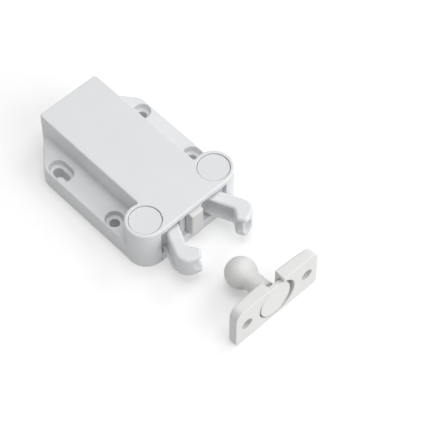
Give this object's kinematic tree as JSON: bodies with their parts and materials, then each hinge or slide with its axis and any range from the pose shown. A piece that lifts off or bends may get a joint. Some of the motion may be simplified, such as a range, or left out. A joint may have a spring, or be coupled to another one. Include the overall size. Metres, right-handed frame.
{
  "type": "cupboard catch latch",
  "caption": "White plastic push-to-open cupboard catch: a screw-on housing with a push nose and hooked swinging jaws, and a separate screw-on plate with a ball stud for the jaws to grip.",
  "frame": {"origin": "middle of the four screw positions of the housing, on its mounting plane", "axes": "+Z out of the cabinet wall, -Y the way the jaws and the nose point, +X to the right of the jaws seen from above with the jaws towards the viewer"},
  "size_m": [0.053, 0.1233, 0.021],
  "materials": {
    "white_shell": "satin",
    "white_jaw": "satin",
    "white_slider": "satin",
    "white_strike": "satin",
    "spring_steel": "drawn"
  },
  "bodies": {
    "catch_body": {"housing": "white_shell", "base_cover": "white_shell", "left_spring": "spring_steel", "right_spring": "spring_steel", "strike_plate": "white_strike"},
    "slider": {"slider": "white_slider"},
    "left_jaw": {"left_jaw": "white_jaw"},
    "right_jaw": {"right_jaw": "white_jaw"},
    "cam_follower": {"cam_follower": "spring_steel"},
    "ball_stud": {"ball_stud": "white_strike"}
  },
  "joints": [
    {"name": "push_stroke", "type": "slide", "parent": "catch_body", "child": "slider", "axis": [0, 1, 0], "range_m": [0, 0.00416], "stiffness_N_per_m": 600, "springref_m": -0.006, "deforming": ["left_spring", "right_spring"]},
    {"name": "left_jaw_swing", "type": "hinge", "parent": "catch_body", "child": "left_jaw", "pos_m": [-0.01825, -0.03065, 0], "axis": [0, 0, 1], "range_deg": [0, 20]},
    {"name": "right_jaw_swing", "type": "hinge", "parent": "catch_body", "child": "right_jaw", "pos_m": [0.01825, -0.03065, 0], "axis": [0, 0, 1], "range_deg": [-20, 0]},
    {"name": "follower_swing", "type": "hinge", "parent": "catch_body", "child": "cam_follower", "pos_m": [0, 0.01535, 0], "axis": [0, 0, 1], "range_deg": [0, 7]},
    {"name": "stud_swivel", "type": "hinge", "parent": "catch_body", "child": "ball_stud", "pos_m": [-0.00184, -0.08545, 0], "axis": [0, 0, 1], "range_deg": [-5.8, 0]}
  ],
  "couplings": [
    {"joint": "left_jaw_swing", "follows": "push_stroke", "rad_per_m": 83.758},
    {"joint": "right_jaw_swing", "follows": "push_stroke", "rad_per_m": -83.758},
    {"joint": "follower_swing", "follows": "push_stroke", "rad_per_m": 28.358}
  ]
}
